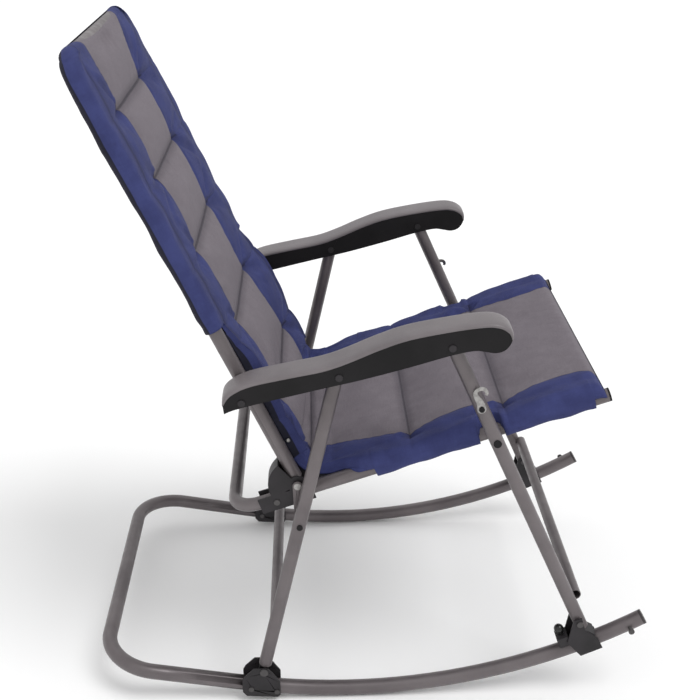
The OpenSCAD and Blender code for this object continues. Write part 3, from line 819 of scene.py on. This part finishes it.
def build_pad():
    """The whole cover as one closed surface: cross-sections along the path, joined and capped."""
    rings = stations()
    points = [p for t in rings for p in ring_points(t, rings[-1])]
    verts, uvs, grey, dark, seam, share, held = zip(*points)
    count = len(points) // len(rings)
    faces = ring_faces(len(rings), count)
    faces.append(tuple(reversed(range(count))))
    faces.append(tuple(range((len(rings) - 1) * count, len(rings) * count)))
    pad = new_object("quilted_pad", verts, faces)
    for name, values in (("grey_edge", grey), ("dark_edge", dark), ("seam_edge", seam)):
        pad.data.attributes.new(name, "FLOAT", "POINT").data.foreach_set("value", values)
    layer = pad.data.uv_layers.new(name="cloth")
    for loop in pad.data.loops:
        layer.data[loop.index].uv = uvs[loop.vertex_index]
    pad.data.materials.append(pad_fabric())
    face_outwards(pad)
    inflate(pad, held, share)
    return pad


# ---- Hooks, arm tops and snaps ----

# A hook's middle line from its rivet, and half its width at each point
HOOK_LINE = [(0, 0), (-1.5, 7), (-4.5, 14), (-8.5, 20), (-11, 26), (-9.5, 31.5), (-3.5, 34.5), (3, 33.5),
             (6, 29), (5, 25)]
HOOK_HALF_WIDTH = [7, 6.0, 5.2, 4.2, 3.3, 3.0, 2.9, 2.8, 2.6, 2.3]
HOOK_EYE_R = 7.0
HOOK_LIP = 0.0018


def curve_through(points, per_span):
    """Evenly split smooth curve through the points."""
    points = np.array(points, float)
    padded = np.vstack([points[0], points, points[-1]])
    result = []
    for k in range(len(points) - 1):
        a, b, c, d = padded[k:k + 4]
        for j in range(per_span):
            u = j / per_span
            bend = (2 * a - 5 * b + 4 * c - d) * u ** 2 + (3 * b - a - 3 * c + d) * u ** 3
            result.append(0.5 * (2 * b + (c - a) * u + bend))
    return np.array(result + [points[-1]])


def headings(line):
    """Unit direction of a curve at each of its points."""
    heading = np.gradient(line, axis=0)
    return heading / np.linalg.norm(heading, axis=1, keepdims=True)


def build_hook(name, side):
    """A sheet steel latch hook: a round eye on its rivet, a neck, and a lip curled outwards."""
    low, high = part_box(name)
    rivets = mid("hook_rivets")
    line = curve_through([(x, z, w) for (x, z), w in zip(HOOK_LINE, HOOK_HALF_WIDTH)], 6)
    eye_angles = np.radians([4, 20, 38, 56, 74])
    eye = [(0.0, -HOOK_EYE_R * math.cos(a), HOOK_EYE_R * math.sin(a)) for a in eye_angles]
    line = np.vstack([eye, line])
    inner, outer = sorted((low.y, high.y), key=abs)
    verts = []
    for (x, z, half), (hx, hz), far in zip(line, headings(line[:, :2]), np.linspace(0, 1, len(line))):
        lift = HOOK_LIP * smooth(far, 0.72, 1.0) * side
        for y, signs in ((inner + lift, (-1, 1)), (outer + lift, (1, -1))):
            for sign in signs:
                across, up = x - sign * hz * half, z + sign * hx * half
                verts.append((rivets.x + across * MM, y, rivets.z + up * MM))
    faces = ring_faces(len(line), 4) + [(0, 1, 2, 3), tuple(range(len(verts) - 4, len(verts)))]
    hook = new_object(name.replace("latch_hook", "curled_hook"), verts, faces)
    face_outwards(hook)
    soft_edges(hook, 0.0007, 40)
    hook.data.materials.append(FINISH["zinc"])
    return hook


# The arm cover's lower line: distance ahead of the rear pivot, and height over the line to the front pivot
ARM_TOP = [(-28, 3), (-12, 16), (20, 22.5), (76, 20), (130, 16.5), (170, 19.5), (217, 26.5), (263, 30),
           (323, 26), (372, 19.5), (394, 12), (406, 0), (408, -12)]
PIVOT_HEAD_R = 0.0055
COVER_LIP = 1.5
COVER_CROWN = 4.7


def build_arm_cover(name):
    """The crowned top of an arm: a rounded cap that follows the shell and turns down over the nose."""
    low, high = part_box(name)
    middle, half = (low.y + high.y) / 2, (high.y - low.y) / 2
    low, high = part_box("arm_pivot_rivets")
    rear = np.array([low.x, low.z]) + PIVOT_HEAD_R
    front = np.array([high.x, high.z]) - PIVOT_HEAD_R
    ahead = (front - rear) / np.linalg.norm(front - rear)
    up = np.array([-ahead[1], ahead[0]])
    line = curve_through(ARM_TOP, 8)
    run = np.concatenate([[0], np.cumsum(np.linalg.norm(np.diff(line, axis=0), axis=1))])
    profile = []
    for j in range(23):
        a = math.pi * j / 22
        across = math.copysign(abs(math.cos(a)) ** 0.5, math.cos(a))
        profile.append((across, COVER_LIP + COVER_CROWN * math.sin(a) ** 0.85))
    profile += [(-1.0, 0.4), (-0.985, -0.4), (0.985, -0.4), (1.0, 0.4)]
    verts = []
    for (x, z), (hx, hz), far in zip(line, headings(line), run):
        full = 0.3 + 0.7 * math.sqrt(smooth(far, 0, 12) * smooth(run[-1] - far, 0, 14))
        for across, rise in profile:
            rise *= full if rise > 0 else 1
            at = rear + (ahead * (x - hz * rise) + up * (z + hx * rise)) * MM
            verts.append((at[0], middle + across * half, at[1]))
    count = len(profile)
    faces = ring_faces(len(line), count)
    faces += [tuple(range(count)), tuple(range(len(verts) - count, len(verts)))]
    cover = new_object(name.replace("arm_cover", "crowned_arm_top"), verts, faces)
    face_outwards(cover)
    cover.data.materials.append(FINISH["cover"])
    return cover


SNAP_Y = RAIL_Y + SLEEVE_R - 22.4               # on the binding, which the fabric draws in beside the post
SNAP_PLACE = (68, 15.5)                         # up the post, and in front of it
SNAP_PROFILE = [(3.6, 0.0), (3.6, 0.6), (3.1, 1.3), (2.2, 1.8), (1.2, 2.05), (0.9, 1.8), (0.3, 1.7)]
SNAP_SIDES = 20


def build_snap(name, side):
    """A small domed stud on the dark binding beside the back post."""
    up, front = SNAP_PLACE
    x, z = PATH.hinge + PATH.post * up + np.array([PATH.post[1], -PATH.post[0]]) * front
    verts = []
    for radius, out in SNAP_PROFILE:
        for k in range(SNAP_SIDES):
            a = 2 * math.pi * k / SNAP_SIDES
            across, rise = x + radius * math.cos(a), z + radius * math.sin(a)
            verts.append((across * MM, side * (SNAP_Y + out) * MM, rise * MM))
    faces = ring_faces(len(SNAP_PROFILE), SNAP_SIDES)
    faces += [tuple(reversed(range(SNAP_SIDES))), tuple(range(len(verts) - SNAP_SIDES, len(verts)))]
    snap = new_object(name, verts, faces)
    snap.data.materials.append(FINISH["zinc"])
    return snap


# ---- Build ----

look_camera()
stage_floor()
white_world()
soft_sun("key", (1.3, -0.9, 3.2), (0, 0, 0.5), 30, 1.25)
soft_sun("fill", (-1.6, -2.4, 2.2), (0, 0, 0.5), 60, 0.15)
soft_sun("rim", (-0.6, 2.2, 3.2), (0, 0, 0.4), 50, 0.15)
bpy.context.scene.view_settings.view_transform = "Standard"

finish_cad_nodes()

pad = build_pad()
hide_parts("back_pad", "seat_pad")
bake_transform(pad)

for side, hand in ((1, "left"), (-1, "right")):
    hook = build_hook(hand + "_latch_hook", side)
    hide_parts(hand + "_latch_hook")
    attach(hook, hand + "_hook")
    cover = build_arm_cover(hand + "_arm_cover")
    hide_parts(hand + "_arm_cover")
    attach(cover, "arms")
    snap = build_snap(hand + "_binding_snap", side)
    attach(snap, "back")
